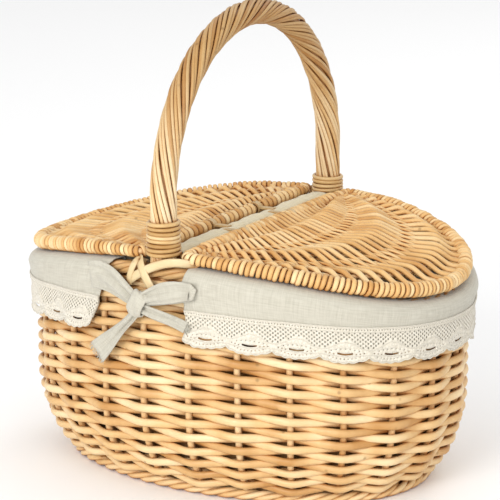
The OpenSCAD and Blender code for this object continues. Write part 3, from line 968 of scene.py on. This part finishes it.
def lace_edge(u):
    """Depth of the lace's scalloped edge along one repeat: one wide scallop of five small ones."""
    wide = np.abs(np.sin(math.pi * u / LACE_REPEAT)) ** 0.75
    small = np.abs(np.sin(5 * math.pi * u / LACE_REPEAT))
    return LACE_DEPTH - 4.6 * MM * (1 - wide) - 1.1 * MM * (1 - small)


def oval_hole(u, v, wide, tall, turn=0.0, points=8):
    """Outline of a hole round (u, v), turned by an angle."""
    a = TAU * (np.arange(points) + 0.5) / points
    x, y = wide * np.cos(a), tall * np.sin(a)
    c, s = math.cos(turn), math.sin(turn)
    return np.stack([u + x * c - y * s, v + x * s + y * c], -1)


def lace_holes():
    """Holes in one repeat of the crochet, in millimetres."""
    width = LACE_REPEAT / MM
    middle = width / 2
    eyelets = 16
    holes = [oval_hole(width * (i + 0.5) / eyelets, 2.3, 0.55, 0.6, points=6) for i in range(eyelets)]
    net = 9
    for row, solid in enumerate((0, 0, 0, 0, 4.0, 7.0, 10.0, 13.0)):
        for i in range(net):
            u = width * (i + (0.75 if row % 2 else 0.25)) / net
            if abs(u - middle) >= solid:
                holes.append(oval_hole(u, 5.0 + 1.75 * row, 1.15, 0.96, math.pi / 2, 4))
    for i in range(7):
        u = middle + 3.6 * (i - 3)
        holes.append(oval_hole(u, 18.6 + 0.16 * (i - 3) ** 2, 0.5, 0.55, points=6))
    line = np.linspace(-1, 1, 9)
    slot = np.stack([middle + 6.0 * line, 23.2 - 0.9 * line ** 2], -1)
    holes.append(np.concatenate([slot + [0, 0.8], slot[::-1] - [0, 0.8]]))
    for side in (-1, 1):
        for k in range(3):
            holes.append(oval_hole(middle + side * (8.6 + 3.0 * k), 22.9 - 0.5 * k, 0.7, 0.5, side * -0.3, 6))
    for i in range(9):
        u = middle + 2.9 * (i - 4)
        holes.append(oval_hole(u, 27.2 - 2.4 * ((i - 4) / 4) ** 2, 0.42, 0.6, points=6))
    return [h * MM for h in holes]


def lace_tile():
    """One flat repeat of the lace: its points and triangles, with real holes."""
    sides = np.linspace(0, lace_edge(0.0), 10)
    bottom_u = np.linspace(0, LACE_REPEAT, 41)
    bottom = np.stack([bottom_u, lace_edge(bottom_u)], -1)
    top = np.stack([np.linspace(LACE_REPEAT, 0, 14), np.zeros(14)], -1)
    right = np.stack([np.full(8, LACE_REPEAT), sides[1:-1][::-1]], -1)
    left = np.stack([np.zeros(8), sides[1:-1]], -1)
    outline = np.concatenate([bottom, right, top, left])
    loops = [outline, *lace_holes()]
    points, edges = [], []
    for loop in loops:
        first = len(points)
        points.extend(loop.tolist())
        edges.extend([first + i, first + (i + 1) % len(loop)] for i in range(len(loop)))
    found = delaunay_2d_cdt([Vector(p) for p in points], edges, [], 0, 1e-7)
    flat = np.array([list(v) for v in found[0]])

    def within(p, loop):
        a, b = loop, np.roll(loop, -1, 0)
        cross = (a[:, 1] > p[1]) != (b[:, 1] > p[1])
        x = (b[:, 0] - a[:, 0]) * (p[1] - a[:, 1]) / (b[:, 1] - a[:, 1] + 1e-15) + a[:, 0]
        return np.count_nonzero(cross & (p[0] < x)) % 2 == 1

    faces = []
    for face in found[2]:
        middle = flat[list(face)].mean(0)
        if within(middle, outline) and not any(within(middle, h) for h in loops[1:]):
            faces.append(face)
    return flat, np.array(faces)


def lace_point(side, u, v, length, lift=0.0):
    """Carries a flat point of lace to its place below the skirt: u along it, v down from the seam."""
    seam = seam_at(side, u / length)
    drop = seam - 1.6 * MM + v
    run = skirt_run(side, u / length, drop)
    curl = 0.84 * MM * np.clip(v / LACE_DEPTH, 0, 1.2) ** 2 * np.sin(TAU * u / LACE_REPEAT + 0.7)
    return hang(run, cloth_growth(run, drop, seam) + 1.15 * MM + curl + lift, drop)


def lace(name, side, repeats):
    """The lace below a skirt: its repeats side by side, welded, and carried to their place."""
    tile, triangles = lace_tile()
    flat = np.concatenate([tile + [k * LACE_REPEAT, 0] for k in range(repeats)])
    faces = np.concatenate([triangles + k * len(tile) for k in range(repeats)])
    keys = np.round(flat / (0.02 * MM)).astype(int)
    _, keep, back = np.unique(keys, axis=0, return_index=True, return_inverse=True)
    flat = flat[keep]
    faces = back.reshape(-1)[faces]
    point, _ = lace_point(side, flat[:, 0], flat[:, 1], repeats * LACE_REPEAT)
    return thicken(make_mesh(name, point, faces.tolist(), flat[faces.ravel()], LACE), LACE_CLOTH)


def lace_cords(name, side, repeats):
    """Raised crochet cords along the edge and between the bands of holes."""
    rods = Rods()
    length = repeats * LACE_REPEAT
    u = np.linspace(0.5 * MM, length - 0.5 * MM, repeats * 30)
    phase = TAU * u / LACE_REPEAT
    edge = lace_edge(np.mod(u, LACE_REPEAT)) - 0.3 * MM
    above_eyelets, below_eyelets = np.full_like(u, 0.7 * MM), np.full_like(u, 4.1 * MM)
    over_leaf = (16.2 + 3.2 * np.cos(phase)) * MM
    under_slot = (25.2 - 1.6 * np.abs(np.cos(phase / 2))) * MM
    for v, radius in ((edge, 0.62), (above_eyelets, 0.5), (below_eyelets, 0.45), (over_leaf, 0.5),
                      (under_slot, 0.5)):
        point, n = lace_point(side, u, v, length, 0.35 * MM)
        rods.add(point, n, radius * MM, sides=6, tint=0.5)
    return rods.build(name, LACE)


def on_side(x, z, growth, sign=-1):
    """A point in front of (or behind) the basket's long side, with its outward direction."""
    x = np.asarray(x, float)
    y = np.sqrt((SIDE_RADIUS + growth) ** 2 - x ** 2) - SIDE_CENTRE
    p = np.stack([x, -y, np.broadcast_to(z, x.shape)], -1)
    n = unit(np.stack([x, -(y + SIDE_CENTRE), np.zeros_like(x)], -1))
    if sign > 0:
        p, n = p * [-1, -1, 1], n * [-1, -1, 1]
    return p, n


def spread(stations, steps):
    """Smooth stations of values along a line, spread evenly."""
    s = np.asarray(stations, float)
    at = np.linspace(0, len(s) - 1, steps)
    line = points_at(at, np.arange(len(s)), s)
    reach = max(2, steps // (2 * len(s)))
    for _ in range(2):
        padded = np.concatenate([np.repeat(line[:1], reach, 0), line, np.repeat(line[-1:], reach, 0)])
        kernel = np.ones(2 * reach + 1) / (2 * reach + 1)
        smooth = np.stack([np.convolve(column, kernel, "valid") for column in padded.T], -1)
        smooth[0], smooth[-1] = line[0], line[-1]
        line = smooth
    return line


def ribbon(name, sign, stations, pleats, seed, steps):
    """A strip of linen laid along stations of (x, z, growth, half width, pleat depth), in millimetres."""
    x, z, growth, half, deep = spread(stations, steps).T * MM
    along = unit(np.gradient(np.stack([x, z], -1), axis=0))
    grid = []
    for w in np.linspace(-1, 1, 19):
        wrinkle = deep * np.cos(math.pi * pleats * w + seed + 2.0 * np.linspace(0, 1, steps))
        crease = 0.25 * deep * np.sin(math.pi * 3.1 * pleats * w + 2.3 * seed)
        edge = 0.35 * deep * (1 - abs(w))
        px = x - along[:, 1] * half * w
        pz = z + along[:, 0] * half * w
        grid.append(on_side(px, pz, growth + wrinkle + crease + edge, sign)[0])
    return cloth(name, np.stack(grid, 1), LINEN, CLOTH)


def fray(rods, sign, start, stop, growth, count, away):
    """Loose threads along a torn end, from start to stop as (x, z) in millimetres, pointing away."""
    for share in (np.arange(count) + rng.random(count)) / count:
        x, z = (a + (b - a) * share for a, b in zip(start, stop))
        length = rng.uniform(1.5, 5.0)
        ang = away + rng.normal(0, 0.35)
        t = np.linspace(0, 1, 5)
        px = (x + length * math.cos(ang) * t + 0.5 * rng.normal() * t ** 2) * MM
        pz = (z + length * math.sin(ang) * t - 0.8 * t ** 2) * MM
        g = (growth + rng.normal(0, 0.6) * t) * MM
        p, n = on_side(px, pz, g, sign)
        rods.add(p, n, 0.2 * MM, sides=4)


def knot(name, sign):
    """The wrapped middle of the bow: a closed band of linen with a puckered middle."""
    a = np.linspace(0, TAU, 56, endpoint=False)
    grid = []
    for w in np.linspace(-1, 1, 15):
        pinch = 1 - 0.22 * w * w + 0.07 * np.sin(3 * a + 4 * w) + 0.05 * np.sin(5 * a + 9 * w)
        up, out = 10.4 * pinch * np.sin(a), 5.4 * pinch * np.cos(a)
        px = -15.5 + 6.8 * w + 0.32 * up + 0.8 * np.sin(2 * a)
        pz = 171.0 - 2.0 * w + up
        grid.append(on_side(px * MM, pz * MM, (7.6 + out) * MM, sign)[0])
    return cloth(name, np.stack(grid, 1), LINEN, 1.1 * MM, closed=True)


# The strips of a bow: pleats, seed and steps, and their stations, which ribbon describes.
BOW_STRIPS = {
    "corner": (2.0, 0.4, 70, [
        (-70, 186, 4.2, 11, 0.4), (-58, 188.5, 4.6, 12.5, 0.9), (-45, 186.5, 5.4, 11.5, 1.6),
        (-31, 179, 6.6, 8.5, 2.0), (-16, 171, 8, 6, 1.8)]),
    "loop": (1.6, 1.2, 110, [
        (-14, 174, 8, 4.5, 1.6), (-2, 179, 9.5, 7, 1.6), (12, 184.5, 11.5, 9.6, 1.0), (25, 187, 11, 9, 0.8),
        (34, 187, 8, 6.5, 0.4), (30, 186.5, 5.4, 8.5, 0.4), (14, 183, 5.2, 9, 0.7), (-2, 177, 6, 6, 1.0),
        (-14, 172, 7, 4, 1.0)]),
    "short_tail": (1.4, 2.0, 70, [
        (-14, 168, 8, 4.5, 1.6), (-2, 165, 7.5, 5, 1.4), (10, 162, 6, 4.8, 1.0), (19, 159, 4.4, 4.6, 0.9),
        (27, 155.5, 3.6, 5, 0.7)]),
    "long_tail": (1.3, 0.9, 70, [
        (-16, 167, 8, 4.5, 1.6), (-23, 158, 6.4, 4.2, 1.8), (-33, 148.5, 5, 4.4, 1.8),
        (-44, 138, 4.4, 6.6, 1.4), (-54, 128.5, 4.4, 9, 1.0), (-62, 121, 4.8, 10, 0.8)]),
}


def bow(label, sign):
    """The linen strips knotted round a handle foot: a drawn-in corner, a loop, two tails and the knot."""
    strips = [ribbon(f"bow_{label}_{part}", sign, stations, pleats, seed, steps)
              for part, (pleats, seed, steps, stations) in BOW_STRIPS.items()]
    strips.append(knot(f"bow_{label}_knot", sign))
    ends = Rods()
    fray(ends, sign, (25.5, 151), (28.5, 160), 3.8, 22, -0.45)
    fray(ends, sign, (-69.5, 128), (-55, 114), 4.8, 40, -2.4)
    threads = settle(ends.build(f"bow_{label}_fray", LINEN), "basket", "linen")
    for piece in strips:
        settle(piece, "basket", "linen", f"tie_bow_{label}")
    return (*strips, threads)


# The canes of a cross tie: half width, and stations of (x, z, growth), in millimetres.
TIE_CANES = (
    (3.8, [(30, 203.5, -9), (27, 207, -2), (20, 209, 3.2), (8, 207.5, 5), (-6, 201.5, 4.6), (-16, 196, 3.4),
           (-24, 191, 2.8), (-29, 187, 2)]),
    (2.9, [(-21, 204, -9), (-22, 206, -1), (-24, 200, 3.4), (-28, 190, 3.4), (-28.5, 184.5, 1.8)]),
    (4.1, [(-19, 204, -10), (-19, 207, -2), (-16, 203.5, 3.4), (-11, 195, 5), (-5, 186, 5.2),
           (0, 178.5, 3.8)]),
)


def cross_tie(name, sign):
    """Flat canes that cross over the border under a handle foot: two that cross, and a turn between them."""
    rods = Rods()
    for half, stations in TIE_CANES:
        x, z, growth = spread(stations, 30).T * MM
        p, n = on_side(x, z, growth, sign)
        rods.add(p, n, half * MM, 0.65 * MM, sides=8)
    return rods.build(name, FLAT_CANE)


def liner_bag():
    """The linen that lines the basket, from the border down the wall and over the floor."""
    floor_z = 16 * MM
    run, p, n = all_round(300)
    top = crown(p[:, 0], BORDER_TOP) - 2 * MM
    grid = []
    for t in np.linspace(0, 1, 34):
        z = top + (floor_z - top) * t
        lean = np.sqrt(BEND_RADIUS ** 2 - np.clip(BEND_HEIGHT - z, 0, 70 * MM) ** 2)
        middle = WALL - BEND_RADIUS + lean
        slack = np.clip((z - 10 * MM) / (30 * MM), 0, 1) * math.sin(math.pi * min(1, 0.15 + t))
        crease = waves(run, (1.0 * MM, ROUND / 31, 3 * t), (0.8 * MM, ROUND / 17, 1 - 2 * t),
                       (0.6 * MM, ROUND / 53, 5 * t))
        d = np.minimum(middle - 9.4 * MM, -18.2 * MM) - slack * (3.6 * MM + crease)
        grid.append(placed(p, n, d, z))
    foot = grid[-1]
    for t in np.linspace(1, 0.03, 16)[1:]:
        point = foot * [t, t, 1]
        point[:, 2] = floor_z + 0.7 * MM * np.sin(9 * point[:, 0] / (60 * MM) + 4 * t) * (1 - t)
        grid.append(point)
    # The bag's outer face takes the painted-shade linen, dark where it shows through the wall.
    return cloth("liner_bag_linen", np.stack(grid, 1), LINEN, 0.9 * MM, closed=True, far_side=LINEN_PAINTED_SHADE)


def bar_sleeve():
    """The linen strip sewn round the bar between the lids. It is tight where the hinge loops hold it."""
    low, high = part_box("crossbar_sleeve")
    mid_z, half_z = (low.z + high.z) / 2, (high.z - low.z) / 2
    flat_part = high.x - half_z
    y = np.linspace(low.y, high.y, 120)
    clear = np.min([1 - np.exp(-((y - place) / (7 * MM)) ** 4) for _, place in LOOP_PLACES], axis=0)
    grid = []
    for ang in np.linspace(0, TAU, 41):
        out, up = math.cos(ang), math.sin(ang)
        wrinkle = waves(y, (0.35 * MM, 0.031, 3 * ang), (0.3 * MM, 0.074, 5 + ang), (0.2 * MM, 0.017, 2 * up))
        reach = half_z - 0.5 * MM + wrinkle + 0.6 * MM * clear * max(0.0, up) ** 2
        x = math.copysign(flat_part * min(1.0, abs(out) * 2.2), out) + reach * out
        grid.append(np.stack([x, y, mid_z + reach * up], -1))
    grid[-1] = grid[0].copy()
    # The sleeve's linen is painted lighter and warmer: painted bounce light from the willow.
    return cloth("bar_sleeve_linen", np.stack(grid, 1), LINEN_PAINTED_LIGHT, 0.7 * MM)


def build_linen():
    """The liner, the skirts with their lace, the bows, and the cross ties behind them."""
    bag = settle(liner_bag(), "basket", "linen", "liner_bag")
    sleeve = settle(bar_sleeve(), "basket", "linen", "crossbar_sleeve")
    for side, label, repeats in ((1, "right", 13), (-1, "left", 11)):
        settle(skirt(f"skirt_{label}_linen", side), "basket", "linen", f"liner_skirt_{label}")
        edging = settle(lace(f"lace_{label}_mesh", side, repeats), "basket", "lace", f"lace_{label}")
        cords = settle(lace_cords(f"lace_{label}_cords", side, repeats), "basket", "lace")
    for label, sign in (("front", -1), ("back", 1)):
        corner, loop, short, long, middle, threads = bow(label, sign)
        settle(cross_tie(f"cross_tie_{label}_cane", sign), "basket", "flat_cane", f"cross_tie_{label}")


# ---------------------------------------------------------------- stage

def build_stage():
    floor_material = Nodes("floor")
    floor_material.put((0.93, 0.93, 0.93), floor_material.shader.inputs["Base Color"])
    bpy.ops.mesh.primitive_plane_add(size=30)
    floor = bpy.context.object
    floor.name = "floor"
    floor.data.materials.append(floor_material.finish(Roughness=0.9))
    world = bpy.data.worlds.new("studio")
    world.use_nodes = True
    world.node_tree.nodes["Background"].inputs["Color"].default_value = (1, 1, 1, 1)
    world.node_tree.nodes["Background"].inputs["Strength"].default_value = 0.86
    bpy.context.scene.world = world
    for name, place, size, power in (("key", (0.1, -2.9, 1.2), 1.3, 62), ("fill", (2.4, -1.6, 1.0), 1.6, 16),
                                     ("back", (0.3, 2.2, 2.2), 1.4, 14)):
        lamp = bpy.data.lights.new(name, "AREA")
        lamp.size = size
        lamp.energy = power
        obj = bpy.data.objects.new(name, lamp)
        obj.location = place
        obj.rotation_euler = (Vector((0, 0, 0.18)) - Vector(place)).to_track_quat("-Z", "Y").to_euler()
        bpy.context.scene.collection.objects.link(obj)
    bpy.context.scene.view_settings.view_transform = "Standard"


def build_camera():
    azimuth, elevation, distance, width_in_view = math.radians(30.5), math.radians(14), 2.2, 0.430
    target = Vector((0.0, 0.0, 0.185))
    away = Vector((math.sin(azimuth) * math.cos(elevation), -math.cos(azimuth) * math.cos(elevation),
                   math.sin(elevation)))
    camera = bpy.data.cameras.new("camera")
    camera.sensor_width = 36
    camera.lens = camera.sensor_width * distance / width_in_view
    camera.clip_end = 60
    obj = bpy.data.objects.new("camera", camera)
    obj.location = target + away * distance
    obj.rotation_euler = (-away).to_track_quat("-Z", "Y").to_euler()
    bpy.context.scene.collection.objects.link(obj)
    bpy.context.scene.camera = obj


def dress_cad_nodes():
    """The CAD nodes that stay as they are get their materials."""
    for node, material in (("base_sticks", WILLOW_ROD), ("crossbar", WILLOW_ROD), ("hinge_loops", FLAT_CANE)):
        for part in frame["nodes"][node].material_slots:
            part.material = material


build_camera()
build_stage()
dress_cad_nodes()
build_basket()
build_lids()
build_linen()
